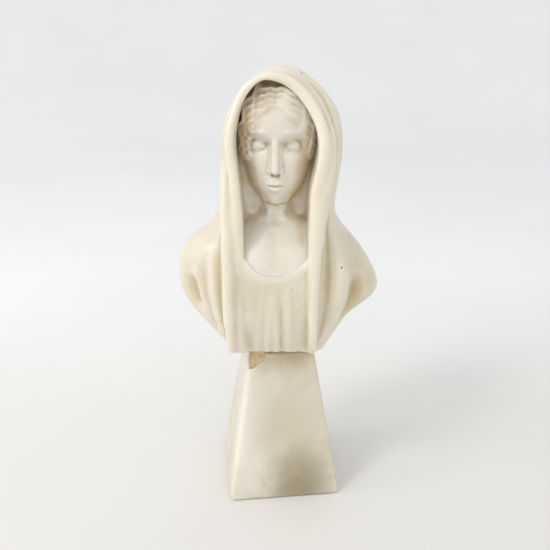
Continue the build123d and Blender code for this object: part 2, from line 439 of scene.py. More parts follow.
veilRolls = {  # the hem and the falling bands of the veil, as rolls of cloth: places and thicknesses
    "leftHem": {
        "path": [(-28.5, -36, 96), (-28.8, -36.5, 115), (-30.2, -36.5, 135), (-32.6, -35, 152),
                 (-31.5, -31, 168), (-25.5, -26, 184), (-15, -23.5, 194), (-3, -23.0, 196.5),
                 (9, -23.5, 192.5), (19, -26.5, 182), (26.5, -31.5, 168), (28.8, -35.5, 154),
                 (27.6, -37.5, 140), (24.8, -38.5, 125), (24.2, -39.5, 108)],
        "radii": [4.4, 4.2, 3.8, 3.6, 3.4, 3.3, 3.3, 3.3, 3.4, 3.7, 4.2, 4.6, 4.8, 4.8, 4.8],
    },
    "hoodBrow": {
        "path": [(-24, -19.5, 184), (-14, -18, 193.3), (-3, -17.5, 196.2), (9, -18, 192.6),
                 (18.5, -20, 182)],
        "radii": [3.0, 3.4, 3.4, 3.4, 3.0],
    },
    "hoodSide": {
        "path": [(-32, -25.5, 132), (-32.2, -25.5, 150), (-31.4, -24.5, 166), (-27.0, -20.0, 179),
                 (-19.5, -18.5, 188.5)],
        "radii": [4.0, 5.2, 5.4, 5.0, 3.8],
    },
    "leftLappetInner": {
        "path": [(-27.6, -25, 0.6), (-27.6, -29.5, 8), (-27.8, -35, 24), (-28, -37.2, 45),
                 (-28.2, -37.4, 65), (-28.4, -36.5, 82), (-28.5, -35.5, 98), (-28.8, -36, 112)],
        "radii": [3.4, 3.6, 3.8, 3.9, 3.9, 4.0, 4.2, 4.4],
    },
    "leftLappetOuter": {
        "path": [(-34.5, -24, 0.6), (-35, -30, 8), (-35.5, -36.5, 24), (-35.6, -38.8, 45),
                 (-35.6, -38.8, 65), (-35.5, -36.5, 82), (-35.2, -33, 98), (-35, -31.5, 115),
                 (-35, -27.5, 135), (-33.5, -22, 155), (-29, -15, 168)],
        "radii": [3.4, 4.0, 4.6, 5.0, 5.0, 5.0, 5.0, 5.0, 4.8, 4.0, 3.0],
    },
    "rightLappet": {
        "path": [(24.6, -25.5, 0.6), (24.6, -31.5, 8), (24.4, -38.5, 24), (24.2, -40.5, 45),
                 (24.2, -41, 65), (24.3, -40.5, 82), (25.2, -39.6, 98), (26.4, -38.8, 112),
                 (29.2, -36.5, 128), (32.0, -32, 144), (32, -25, 160), (28, -17, 172)],
        "radii": [3.0, 3.2, 3.4, 3.7, 4.2, 4.9, 5.6, 6.2, 6.2, 5.6, 4.6, 3.0],
    },
}

veilFolds = [  # creases are below 0 and ridges above: across and up, as seen from the front
    # left shoulder
    stroke([(-41.0, 92), (-41.4, 60), (-40, 30), (-36, 2)], 3.0, -1.5, (0.3, 0.2)),
    stroke([(-46.5, 90), (-47, 60), (-44.5, 30), (-39, 4)], 3.4, 1.0, (0.3, 0.2)),
    stroke([(-52, 84), (-53, 58), (-49.5, 34), (-43, 10)], 3.8, -1.7, (0.35, 0.25)),
    stroke([(-58.5, 74), (-59.5, 56), (-55, 38)], 4.0, 0.7, (0.3, 0.3)),
    stroke([(-60.5, 66), (-61.5, 50), (-57, 32)], [4.5, 5.8, 4.5], [-2.0, -4.6, -2.4], (0.3, 0.3)),
    # right shoulder
    stroke([(34.5, 110), (35.2, 85), (35, 58), (33.4, 30), (30, 4)], [2.8, 4.0, 4.6, 4.0, 3.0],
           [-2.0, -3.8, -4.2, -3.0, -1.5], (0.15, 0.1)),
    stroke([(44, 88), (44, 60), (41.5, 32), (37.5, 10)], 3.8, 0.8, (0.3, 0.3)),
    stroke([(54, 68), (56, 52), (52.5, 36), (45, 18)], [5.0, 6.4, 6.0, 4.4], [-2.2, -6.0, -4.8, -1.6],
           (0.25, 0.2)),
    stroke([(47.5, 74), (47.5, 52), (44.5, 28)], 3.2, 1.0, (0.3, 0.3)),
    # the veil on the head
    stroke([(10, 200), (20, 194), (30, 183), (36.5, 168), (39, 152), (38.5, 135), (36.5, 116)], 3.0,
           [-0.8, -1.8, -2.3, -2.4, -2.2, -1.8, -1.0], (0.2, 0.3)),
    stroke([(16, 190), (26, 180), (33, 165), (34.6, 148), (33.4, 132), (32, 118)], 4.2, 1.7,
           (0.25, 0.3)),
    stroke([(18, 199), (31, 188), (40, 170), (43, 150)], 3.6, 0.35, (0.3, 0.3)),
    stroke([(-20, 194.5), (-29.5, 182), (-36, 163), (-38.6, 140), (-39.6, 112)], 2.4, -1.1, (0.3, 0.3)),
]
# each valley of the dress: across at its top and foot, where it starts, how wide and deep
dressFlutes = [
    (-16.5, -19.5, 64, 3.2, -0.8), (-10.0, -12.8, 64, 3.0, -1.5), (-5.0, -5.8, 52, 2.4, -1.1),
    (0.6, 2.4, 66, 3.0, -1.7), (7.0, 8.6, 40, 2.4, -0.7), (10.5, 14.0, 62, 3.0, -1.0),
    (16.5, 18.5, 64, 2.8, -0.6),
]
for top, foot, start, width, height in dressFlutes:
    path = [(top, start), (top + 0.3 * (foot - top), start * 0.62),
            (top + 0.7 * (foot - top), start * 0.3), (foot, -1)]
    depth = [height, height, 0.8 * height]
    veilFolds.append(stroke(path, [0.7 * width, width, width], depth, (0.6, 0)))
    ridge = [(a + 1.5 * width, up) for a, up in path]
    veilFolds.append(stroke(ridge, width, [-0.38 * d for d in depth], (0.6, 0)))
# faint pleats from the neckline down
for top, foot in ((-14, -17), (-7, -9), (4.5, 5.5), (8, 11), (13, 16.5)):
    veilFolds.append(stroke([(top, 64), (0.5 * (top + foot), 36), (foot, 6)], 2.0, -0.45, (0.2, 0.4)))
neckline = [(-23.5, 76), (-17, 68), (-10, 63.6), (-3, 62.4), (5, 64.2), (12, 68.2), (18.5, 75)]
veilFolds.append(stroke(neckline, 2.2, 0.2, (0.05, 0.05)))

backFolds = [  # seen from behind the middle line: across and up, how wide and how deep
    stroke([(-6, 192), (-14, 165), (-18, 125), (-24, 80), (-26, 40), (-23, 6)], [3, 5, 6, 5], -2.6),
    stroke([(2, 188), (0, 150), (-5, 105), (-8, 60), (-9, 20)], [2.5, 4, 5, 4], [-1, -2, -2.6, -1.6]),
    stroke([(9, 190), (16, 160), (18, 120), (15, 75), (10, 30), (8, 2)], [3, 5, 5.5, 4.5], -2.4),
    stroke([(14, 182), (25, 150), (31, 115), (37, 80), (36, 45), (28, 12)], [3, 4.5, 6, 5], -3.0),
    stroke([(-15, 178), (-27, 145), (-32, 112), (-43, 78), (-43, 45), (-34, 14)], [3, 4.5, 6, 5], -2.8),
    stroke([(-4, 96), (-15, 62), (-17, 25), (-16, 2)], 3.6, -1.3),
    stroke([(24, 88), (25, 55), (22, 22), (19, 2)], 3.6, -1.5),
    stroke([(-22, 106), (-8, 97), (8, 97), (22, 106)], 7.0, -1.4),
    stroke([(-9, 150), (-11, 110), (-15, 70), (-17, 40)], 5.0, 1.0),
    stroke([(8, 150), (7, 105), (3, 60), (1, 25)], 5.0, 1.1),
    stroke([(26, 118), (30, 84), (29, 50)], 4.6, 1.0),
    stroke([(-54, 70), (-55, 48), (-44, 22)], 4.2, -1.8),
    stroke([(53, 66), (53, 46), (42, 22)], 4.2, -2.0),
]
for fold in backFolds:
    veilFolds.append({**fold, "view": "back", "fade": (0.3, 0.1)})
sideFolds = [  # front to back and up, as seen from each side
    stroke([(-13, 182), (-12, 150), (-9, 122), (-3, 100)], 3.6, -1.3, (0.3, 0.3)),
    stroke([(1, 186), (6, 150), (8, 118), (15, 92), (18, 62)], [3, 4.6, 4], -2.0, (0.3, 0.3)),
    stroke([(8, 180), (13, 148), (15, 118), (23, 90), (25, 62)], 4.0, 1.0, (0.3, 0.3)),
    stroke([(3, 84), (2, 58), (2, 34), (3, 12)], 4.6, -1.8, (0.35, 0.2)),
    stroke([(14, 66), (14, 42), (12, 16)], 4.0, -1.4, (0.35, 0.2)),
]
for side in ("left", "right"):
    veilFolds += [{**fold, "view": side} for fold in sideFolds]

torso = blockOut("veil_and_dress", torsoBlock["stations"], torsoBlock["around"], torsoBlock["rings"])
joinInto(torso, [roll(name, r["path"], r["radii"]) for name, r in veilRolls.items()])
remesh(torso, torsoBlock["roughGrain"], torsoBlock["softening"]["rough"])
cutWith(torso, cutOpening(torsoBlock["opening"], -80, torsoBlock["openingDepth"]))
remesh(torso, torsoBlock["grain"], torsoBlock["softening"]["opened"])
carve(torso, veilFolds)
applyModifier(torso, "SMOOTH", factor=0.5, iterations=torsoBlock["softening"]["carved"])
keepLargest(torso)
pinholes = []
tree = BVHTree.FromObject(torso, bpy.context.evaluated_depsgraph_get())
for x, up, wide, tall in torsoBlock["pinholes"]:
    place = tree.ray_cast(Vector((x, -300, up)), Vector((0, 1, 0)))[0]
    pinholes.append(ball((0, 0, 0), 1))
    pinholes[-1].data.transform(Matrix.Translation(place) @ Matrix.Diagonal((wide, 2.0, tall, 1)))
joinInto(pinholes[0], pinholes[1:])
cutWith(torso, pinholes[0])
thin(torso, torsoBlock["mostTriangles"])
markHollows(torso, rounds=60, depth=1.0)
print("veil, shoulders and dress carved")


# The head, hair, neck and chest are one block of whiter stone, let into the veil.
headBlock = {
    "around": 96,
    "rings": 90,
    "at": (-0.6, 1.6, 154.4),  # middle of the eye line
    "bow": math.radians(6),
    "turn": math.radians(-4),
    "size": 1.07,
    # height from the eye line, reach to left, right, front and back, how square, middle across and back
    "stations": [
        (-37.6, 3.0, 3.0, 3.5, 4.0, 2.0, 0, -20.0),
        (-36.6, 6.6, 6.6, 7.5, 8.0, 2.0, 0, -18.0),
        (-33.0, 11.8, 11.8, 13.2, 13.0, 2.05, 0, -14.0),
        (-28.0, 16.4, 16.4, 21.2, 16.0, 2.1, 0, -8.0),
        (-22.0, 20.0, 20.0, 26.0, 20.0, 2.15, 0, -4.0),
        (-14.0, 22.8, 22.8, 29.4, 24.0, 2.2, 0, 0),
        (-6.0, 24.3, 24.3, 29.0, 26.0, 2.2, 0, 0),
        (2.0, 25.2, 25.2, 29.2, 27.0, 2.2, 0, 0),
        (10.0, 25.6, 25.6, 30.2, 28.0, 2.2, 0, 0),
        (18.0, 25.0, 25.0, 29.4, 28.0, 2.1, 0, 0),
        (25.0, 22.8, 22.8, 26.5, 26.0, 2.0, 0, 0),
        (31.0, 18.5, 18.5, 21.0, 21.0, 2.0, 0, 0),
        (35.0, 12.0, 12.0, 14.0, 14.0, 2.0, 0, 0),
        (37.3, 2.5, 2.5, 3.0, 3.0, 2.0, 0, 0),
    ],
    "neck": {"path": [(-1.5, 2, 138), (-2, 0, 120), (-2, -3, 104), (-2, -5, 88)],
             "radii": [13.0, 13.2, 14.2, 17.0]},
    "chest": [
        (56.0, 34.0, 34.0, 42.4, 9.0, 4.2, -2, 0),
        (66.0, 34.0, 34.0, 42.0, 9.0, 4.0, -2, 0),
        (74.0, 34.0, 34.0, 40.0, 9.0, 3.6, -2, 0),
        (82.0, 33.5, 33.5, 36.2, 9.0, 3.1, -2, 0),
        (89.0, 32.0, 32.0, 30.6, 9.0, 2.5, -2, 0),
        (95.0, 29.0, 29.0, 24.2, 9.0, 2.3, -2, 0),
        (100.0, 23.0, 23.0, 17.5, 9.0, 2.2, -2, 0),
        (104.0, 15.0, 15.0, 12.0, 9.0, 2.0, -2, 0),
    ],
    "backing": [  # the stone left standing behind the neck and hair
        (84.0, 31.0, 31.0, 10.0, 9.0, 4.0, -2, 0),
        (110.0, 31.0, 31.0, 11.0, 9.0, 4.0, -2, 0),
        (140.0, 32.0, 32.0, 11.0, 9.0, 4.0, -2, 0),
        (165.0, 32.0, 32.0, 10.0, 9.0, 4.0, -2, 0),
        (186.0, 26.0, 26.0, 7.0, 9.0, 3.0, -2, 0),
    ],
    # below 0: the block's edge reaches into the socket's wall, so that only the two slits show
    "gap": -1.2,
    "back": 6.0,  # the flat back, on its plaster bed
    "bareRings": 30,  # in the chest and the backing, which have no detail of their own
    "roughGrain": 0.8,
    "grain": 0.45,
    "softening": {"rough": 4, "joined": 7, "carved": 3},
    "mostTriangles": 190000,
}

faceForms = [  # broad forms, both halves alike: across and up from the middle of the eye line
    stroke([(7.8, 1.2), (13.0, 1.0)], 4.6, -3.9, both=True),  # socket
    stroke([(4.8, 2.4)], 2.2, -1.2, both=True),
    stroke([(3.5, 8.8), (10, 10.2), (17.5, 7.6)], 2.8, 1.0, (0.3, 0.3), both=True),
    stroke([(13.5, -8.5)], 7.0, 1.3, both=True),  # cheek
    stroke([(0, -22.6)], 6.6, 1.9),  # mouth's mound
    stroke([(0, -33.0)], 4.8, 1.8),  # chin
    stroke([(21.5, 7)], 5.0, -1.0, both=True),  # temple
]
faceParts = {
    "eyeball": {"at": (10.3, -20.4, -0.3), "radius": 5.3},
    "lids": [  # across and up from the middle of the eye, how far off the ball, and how thick
        {"path": [(-4.7, -1.5), (-3.2, 0.1), (0, 0.8), (3.2, 0.3), (5.0, -1.2)], "off": 0.15,
         "thick": [0.5, 0.7, 0.75, 0.7, 0.5]},
        {"path": [(-4.2, -0.2), (-2.6, 1.3), (0, 2.0), (3.0, 1.5), (4.9, -0.1)], "off": 0.0,
         "thick": [0.6, 0.85, 0.9, 0.85, 0.6]},
        {"path": [(-3.8, 1.2), (-2.2, 2.6), (0.2, 3.2), (3.0, 2.6), (4.6, 1.2)], "off": -0.1,
         "thick": [0.6, 0.9, 1.0, 0.9, 0.6]},
        {"path": [(-4.4, -1.9), (-2.6, -2.8), (0, -3.2), (2.8, -2.8), (4.8, -1.7)], "off": 0.05,
         "thick": [0.5, 0.65, 0.7, 0.65, 0.5]},
    ],
    "nose": {"path": [(0, -26.9, 10), (0, -28.3, 4), (0, -30.0, -3), (0, -32.2, -11.2)],
             "thick": [2.4, 2.4, 2.5, 2.9]},
    "noseSides": {"path": [(0, -24.2, 6), (0, -26.4, -4), (0, -28.2, -12.4)], "thick": [3.4, 4.6, 5.3]},
    "noseTip": {"at": (0, -32.4, -12.2), "radius": 3.0},
    "noseWing": {"at": (3.1, -29.5, -13.4), "radius": 2.5},
}
faceDetails = [
    # fold over the lid
    stroke([(5.2, 3.0), (7.4, 4.9), (10.4, 5.6), (13.8, 4.7), (16.8, 2.0)], 0.8, -0.55, (0.3, 0.3),
           both=True),
    stroke([(-3.6, -16.8), (0, -17.3), (3.6, -16.8)], 1.1, -1.5, (0.3, 0.3)),
    stroke([(2.2, -16.1)], 0.9, -1.0, both=True),  # nostril
    stroke([(0, -18.4), (0, -20.6)], 0.9, -0.45, (0.4, 0.2)),
    # upper lip
    stroke([(-7.4, -23.0), (-3.8, -21.7), (-1.5, -21.2), (0, -21.5), (1.5, -21.2), (3.8, -21.7),
            (7.4, -23.0)], 1.2, 1.0, (0.35, 0.35)),
    # lower lip
    stroke([(-5.6, -24.6), (-2.6, -25.3), (0, -25.5), (2.6, -25.3), (5.6, -24.6)], 1.4, 1.25,
           (0.4, 0.4)),
    stroke([(-7.9, -23.1), (-4.0, -23.1), (-1.6, -23.0), (0, -23.3), (1.6, -23.0), (4.0, -23.1),
            (7.9, -23.1)], 0.65, -0.8, (0.3, 0.3)),
    stroke([(8.3, -23.2)], 1.4, -0.5, both=True),
    stroke([(-4.0, -28.5), (0, -28.8), (4.0, -28.5)], 2.2, -0.7, (0.4, 0.4)),
    stroke([(6.4, -16.3), (9.2, -20.3)], 1.6, -0.25, (0.3, 0.3), both=True),
    stroke([(3.4, 9.4), (10, 11.0), (17.4, 8.8)], 1.0, 0.35, (0.3, 0.3), both=True),
]
for form in faceForms + faceDetails:
    form["push"] = "view"

throatForms = [  # seen from the front, in the bust's own frame
    stroke([(-12.5, 122), (-9.5, 112), (-6.2, 103.5)], 2.2, [0.5, 1.1, 1.3], (0.3, 0.1)),
    stroke([(8.5, 122), (4.6, 112), (0.6, 103.5)], 2.2, [0.5, 1.1, 1.3], (0.3, 0.1)),
    stroke([(-2.8, 102.4)], 3.6, -1.0),  # pit of the neck
    stroke([(-5.6, 101), (-12, 100.6), (-19, 103), (-25, 107)], 2.0, 1.2, (0.1, 0.2)),
    stroke([(0.4, 101), (7, 100.6), (14, 103), (20, 107)], 2.0, 1.2, (0.1, 0.2)),
    stroke([(-11, 105.5), (-18, 108.5)], 2.8, -1.0),
    stroke([(6, 105.5), (13, 108.5)], 2.8, -1.0),
    stroke([(-2.6, 97), (-2.6, 72)], 4.5, -0.9, (0.2, 0)),
]

hair = {  # waves from the parting over the temples: across and up from the middle of the eye line
    "right": {
        "hairline": [(0.7, 25.4), (3.6, 25.6), (8.4, 22.6), (13.2, 17.6), (16.8, 11.4), (19.2, 4.0),
                     (20.6, -3.0), (21.4, -9.0)],
        "crown": [(0.7, 36.2), (5.0, 36.4), (11.0, 33.4), (16.6, 27.4), (21.0, 18.6), (23.8, 8.0),
                  (24.6, -1.0), (24.2, -9.0)],
        "wave": 1.0, "length": 15.0, "phase": 0.6,
    },
    "left": {
        "hairline": [(0.7, 25.4), (3.6, 25.6), (8.0, 22.4), (12.2, 17.2), (15.0, 11.4), (16.8, 4.0),
                     (17.6, -3.0), (17.8, -9.0)],
        "crown": [(0.7, 36.2), (5.0, 36.4), (10.8, 33.2), (15.8, 26.6), (19.0, 18.0), (20.8, 8.0),
                  (21.0, -1.0), (20.6, -9.0)],
        "wave": 1.5, "length": 14.0, "phase": 2.6,
    },
    "locks": 5,
    "thick": [1.3, 2.2, 2.4, 2.4, 2.3, 2.1, 1.7],
    "lift": (0.0, 0.7),  # from the front lock to the rear one
    "drift": 0.35,  # how far each lock's wave lags the one before it
    "curls": [((-13.6, 13.4), 3.0, 0.6), ((-16.6, 5.4), 2.9, 1.8), ((-17.2, -3.2), 2.5, 3.0)],
    "curlThick": [1.3, 1.35, 1.2, 0.9],
    "strands": (-0.95, 0.0, 0.95),
    "strandDepth": -0.34,
    "strandWidth": 0.42,
}


def bothSides(strokes):
    mirrored = [
        {**each, "path": [(-a, up) for a, up in each["path"]]} for each in strokes if each.get("both")
    ]
    return strokes + mirrored


def beside(path, aside):  # the same path, moved sideways
    run = np.array(path, float)
    way = np.gradient(run, axis=0)
    way /= np.linalg.norm(way, axis=1)[:, None] + 1e-9
    return run + aside * np.column_stack([-way[:, 1], way[:, 0]])


def waveLock(share, side, order):  # share: 0 at the hairline, 1 at the crown
    style = hair[side]
    rows = []
    for row in (style["hairline"], style["crown"]):
        run = smoothPath(row, 0.5)
        walked = np.r_[0, np.cumsum(np.linalg.norm(np.diff(run, axis=0), axis=1))]
        steps = np.linspace(0, walked[-1], 30)
        rows.append(np.column_stack([np.interp(steps, walked, run[:, k]) for k in (0, 1)]))
    path = (1 - share) * rows[0] + share * rows[1]
    walked = np.r_[0, np.cumsum(np.linalg.norm(np.diff(path, axis=0), axis=1))]
    phase = style["phase"] + order * hair["drift"]
    swing = style["wave"] * np.sin(walked * math.tau / style["length"] + phase)
    path = path + (swing * easeIn((walked - 2) / 9))[:, None] * (beside(path, 1) - path)
    return path * (1 if side == "right" else -1, 1)


def curl(middle, size, begin):
    turns = np.linspace(0, 1, 22)
    angle = begin + turns * math.tau * 1.3
    reach = size * (1 - 0.78 * turns)
    return np.column_stack([middle[0] + reach * np.cos(angle), middle[1] + reach * np.sin(angle)])


def layRoll(piece, path, thick, lift):  # a tube laid on the surface
    bpy.context.view_layer.update()
    tree = BVHTree.FromObject(piece, bpy.context.evaluated_depsgraph_get())
    route = castOn(tree, path, "front", 2.0)[0]
    return roll("lock", route[:, :3] + lift * route[:, 3:], thick)


def eyelid(lid, side):  # a roll bent over the eyeball
    eye = faceParts["eyeball"]
    reach = eye["radius"] + lid["off"]
    path = []
    for a, up in lid["path"]:
        deep = math.sqrt(max(reach**2 - a * a - up * up, 0.5))
        path.append((side * (eye["at"][0] + a), eye["at"][1] - deep, eye["at"][2] + up))
    return roll("lid", path, lid["thick"])


def facePieces():
    pieces = [ball(faceParts["noseTip"]["at"], faceParts["noseTip"]["radius"])]
    for name in ("nose", "noseSides"):
        pieces.append(roll(name, faceParts[name]["path"], faceParts[name]["thick"]))
    for side in (-1, 1):
        for name in ("eyeball", "noseWing"):
            x, y, z = faceParts[name]["at"]
            pieces.append(ball((side * x, y, z), faceParts[name]["radius"]))
        pieces += [eyelid(lid, side) for lid in faceParts["lids"]]
    return pieces


headPose = (
    Matrix.Translation(headBlock["at"])
    @ Matrix.Rotation(headBlock["turn"], 4, "Z")
    @ Matrix.Rotation(headBlock["bow"], 4, "X")
    @ Matrix.Scale(headBlock["size"], 4)
)
head = blockOut("head_and_chest_carved", headBlock["stations"], headBlock["around"], headBlock["rings"])
locks = []
for side in ("right", "left"):
    for order in range(hair["locks"]):
        share = order / (hair["locks"] - 1)
        locks.append((waveLock(share, side, order), np.interp(share, (0, 1), hair["lift"]),
                      hair["thick"]))
locks += [(curl(*settings), 1.6, hair["curlThick"]) for settings in hair["curls"]]
joinInto(head, [layRoll(head, path, thick, lift) for path, lift, thick in locks])
head.data.transform(headPose)
neck = roll("neck", headBlock["neck"]["path"], headBlock["neck"]["radii"])
chest, backing = (
    blockOut(name, headBlock[name], headBlock["around"], headBlock["bareRings"]) for name in ("chest",
        "backing")
)
joinInto(head, [neck, chest, backing])
remesh(head, headBlock["roughGrain"], headBlock["softening"]["rough"])
carve(head, throatForms)
head.data.transform(headPose.inverted())
carve(head, bothSides(faceForms))
joinInto(head, facePieces())
head.data.transform(headPose)
remesh(head, headBlock["grain"], headBlock["softening"]["joined"])
head.data.transform(headPose.inverted())
carve(head, bothSides(faceDetails))
strands = []
for path, lift, thick in locks:
    for aside in hair["strands"]:
        strand = beside(path, aside * thick[1] / 2.4)
        strands.append(stroke(strand, hair["strandWidth"], hair["strandDepth"], (0.02, 0.15)))
carve(head, strands)
head.data.transform(headPose)
applyModifier(head, "SMOOTH", factor=0.5, iterations=headBlock["softening"]["carved"])

edge = inset(torsoBlock["opening"], headBlock["gap"])
cutWith(head, cutOpening(edge, -60, headBlock["back"]), "INTERSECT")
keepLargest(head)
thin(head, headBlock["mostTriangles"])
markHollows(head, rounds=40, depth=0.55)
markShelter([torso, head], grain=2.0, reach=45, rayCount=36)
print("head, hair and chest carved")
seatBust(torso)
finishPiece(torso, "veiled_torso")
seatBust(head)
finishPiece(head, "head_and_chest")


# The pedestal and its mastic are drawn in millimetres, on the foot.
pedestalBlock = {
    "foot": 87.0,
    "top": 48.5,
    "height": 118.0,
    "wornCorner": 3.6,
    "cuts": 88,
    "unevenness": 0.22,  # how far the hand-rubbed faces wander, inwards only
    "rodHole": 5.0,
    "counterbore": 14.0,
    "counterboreDepth": 14.0,
    "chip": {"at": (-27.75, -33.75, 124.0), "radius": 20.0, "roughness": 0.9},
    "nicks": [  # small breaks along the edges: where and how large
        (-43, -43, 3, 2.4), (43.5, -43.5, 0, 2.2), (34, -34, 62, 1.1), (-36, -36, 50, 1.0),
        (24.5, -24.5, 117.5, 1.6), (8, -24.8, 118.6, 1.2), (19, -44.2, 0, 1.4),
    ],
    "scratches": [  # pale marks on the front: across, up, length and lean
        (17, 66, 5.0, 1.5), (3, 10, 3.0, 0.6), (14, 19, 2.4, -0.4), (33, 22, 2.6, 1.4),
        (-22, 84, 3.5, 1.2),
    ],
}
mastic = {
    "thickness": 0.8,
    "inset": 1.0,  # from the pedestal's top edge
    "setback": 0.9,  # behind the pedestal's faces, where it fills the chip
    "grain": 0.34,
    "roughness": 0.5,
    "mostTriangles": 60000,
}


def taperedBlock(name, foot, top, height, inset=0.0, base=0.0):
    bpy.ops.object.select_all(action="DESELECT")
    bpy.ops.mesh.primitive_cube_add(size=2)
    piece = bpy.context.object
    piece.name = name
    points = readPoints(piece.data)
    up = points[:, 2] > 0
    half = np.where(up, top, foot) / 2 - inset
    points[:, 0] *= half
    points[:, 1] *= half
    points[:, 2] = np.where(up, height, base)
    writePoints(piece.data, points)
    return piece


def roughBall(at, radius, roughness):  # the hollow of a break in stone, with its shell-like steps
    bpy.ops.object.select_all(action="DESELECT")
    bpy.ops.mesh.primitive_ico_sphere_add(subdivisions=6, radius=radius)
    piece = bpy.context.object
    points = readPoints(piece.data)
    for k, point in enumerate(points):
        broad = noise.noise(Vector(point * 0.16))
        fine = noise.noise(Vector(point * 0.75))
        steps = math.sin(point[2] * 0.9 + 3 * broad)
        points[k] *= 1 + roughness * (1.1 * broad + 0.35 * fine + 0.3 * steps) / radius
    writePoints(piece.data, points + np.array(at))
    return piece


def bore(radius, low, high):
    bpy.ops.object.select_all(action="DESELECT")
    middle = (0, 0, (low + high) / 2)
    bpy.ops.mesh.primitive_cylinder_add(vertices=96, radius=radius, depth=high - low, location=middle)
    piece = bpy.context.object
    bpy.ops.object.transform_apply(location=True)
    return piece


def toMetres(piece):
    piece.data.transform(Matrix.Scale(0.001, 4))
    piece.data.update()


def roundedBlock(name, cuts, radius):  # the tapered block on an even grid, its edges rubbed round
    bpy.ops.object.select_all(action="DESELECT")
    bpy.ops.mesh.primitive_cube_add(size=2)
    piece = bpy.context.object
    piece.name = name
    bpy.ops.object.mode_set(mode="EDIT")
    bpy.ops.mesh.select_all(action="SELECT")
    bpy.ops.mesh.subdivide(number_cuts=cuts)
    bpy.ops.object.mode_set(mode="OBJECT")
    points = readPoints(piece.data)
    share = (points[:, 2] + 1) / 2
    half = (pedestalBlock["foot"] * (1 - share) + pedestalBlock["top"] * share) / 2
    tall = pedestalBlock["height"] / 2
    block = np.column_stack([points[:, 0] * half, points[:, 1] * half, points[:, 2] * tall])
    bounds = np.column_stack([half, half, np.full(len(half), tall)])
    inner = np.clip(block, radius - bounds, bounds - radius)
    out = block - inner
    length = np.linalg.norm(out, axis=1)[:, None]
    rounded = inner + out * radius / np.maximum(length, 1e-9)
    rounded[:, 2] += tall
    writePoints(piece.data, rounded)
    return piece


def scratch(piece):
    strokes = []
    for x, up, length, lean in pedestalBlock["scratches"]:
        path = [(x, up), (x + lean, up + length)]
        strokes.append(stroke(path, 0.5, -0.25))
        strokes.append(stroke([(x + 0.9, up), (x + 0.9 + lean, up + length)], 0.5, 0.08))
    carve(piece, strokes)


pedestal = roundedBlock("pedestal_block", pedestalBlock["cuts"], pedestalBlock["wornCorner"])
points, normals = readPoints(pedestal.data), readPoints(pedestal.data, "normal")
for k, (point, normal) in enumerate(zip(points, normals)):
    if abs(normal[2]) < 0.6:
        rubbed = 0.5 + 0.5 * noise.noise(Vector(point * (0.035, 0.035, 0.022)))
        rippled = 0.5 + 0.5 * noise.noise(Vector(point * 0.12))
        points[k] -= normal * pedestalBlock["unevenness"] * (rubbed + 0.3 * rippled)
writePoints(pedestal.data, points)
scratch(pedestal)
chipSettings = pedestalBlock["chip"]
chip = roughBall(chipSettings["at"], chipSettings["radius"], chipSettings["roughness"])
chipForMastic = copyOf(chip)
cutWith(pedestal, chip)
for x, y, z, size in pedestalBlock["nicks"]:
    cutWith(pedestal, roughBall((x, y, z), size, 0.5))
cutWith(pedestal, bore(pedestalBlock["counterbore"], -5, pedestalBlock["counterboreDepth"]))
cutWith(pedestal, bore(pedestalBlock["rodHole"], 1, pedestalBlock["height"] + 5))
keepLargest(pedestal)
markHollows(pedestal, rounds=12, depth=0.5)
toMetres(pedestal)
finishPiece(pedestal, "pedestal")

bedTop = pedestalBlock["height"] + mastic["thickness"]
side = pedestalBlock["top"] - 2 * mastic["inset"]
bed = taperedBlock("old_mastic", side, side, bedTop, base=pedestalBlock["height"])
cutWith(bed, copyOf(chipForMastic))
fill = taperedBlock("fill", pedestalBlock["foot"], pedestalBlock["top"], bedTop,
                    inset=mastic["setback"])
cutWith(fill, chipForMastic, "INTERSECT")
joinInto(bed, [fill])
remesh(bed, mastic["grain"], 1)
points, normals = readPoints(bed.data), readPoints(bed.data, "normal")
for k, (point, normal) in enumerate(zip(points, normals)):
    shown = max(0.0, -normal[0], -normal[1]) if point[0] < 0 or point[1] < 0 else 0.0
    lumps = 0.55 + 0.6 * noise.noise(Vector(point * 0.33)) + 0.35 * noise.noise(Vector(point * 0.9))
    points[k] -= normal * (0.03 + mastic["roughness"] * shown * max(lumps, 0))
writePoints(bed.data, points)
cutWith(bed, bore(pedestalBlock["rodHole"], 100, 130))
keepLargest(bed)
thin(bed, mastic["mostTriangles"])
markHollows(bed, rounds=16, depth=0.4)
toMetres(bed)
finishPiece(bed, "joint_mastic")
print("pedestal and mastic built")


def newMaterial(name):
    material = bpy.data.materials.new(name)
    material.use_nodes = True
    return material, material.node_tree, material.node_tree.nodes["Principled BSDF"]


def addNode(tree, kind, inputs=(), **settings):
    made = tree.nodes.new("ShaderNode" + kind)
    for key, value in settings.items():
        setattr(made, key, value)
    for socket, value in dict(inputs).items():
        if isinstance(value, bpy.types.NodeSocket):
            tree.links.new(value, made.inputs[socket])
        else:
            made.inputs[socket].default_value = value
    return made


def noiseNode(tree, place, scale, detail=4.0, roughness=0.55, distortion=0.0):
    inputs = {"Vector": place, "Scale": scale, "Detail": detail, "Roughness": roughness,
              "Distortion": distortion}
    return addNode(tree, "TexNoise", inputs).outputs["Fac"]


def rangeNode(tree, value, low, high, toLow=0.0, toHigh=1.0):
    inputs = {"Value": value, "From Min": low, "From Max": high, "To Min": toLow, "To Max": toHigh}
    return addNode(tree, "MapRange", inputs, interpolation_type="SMOOTHSTEP").outputs["Result"]


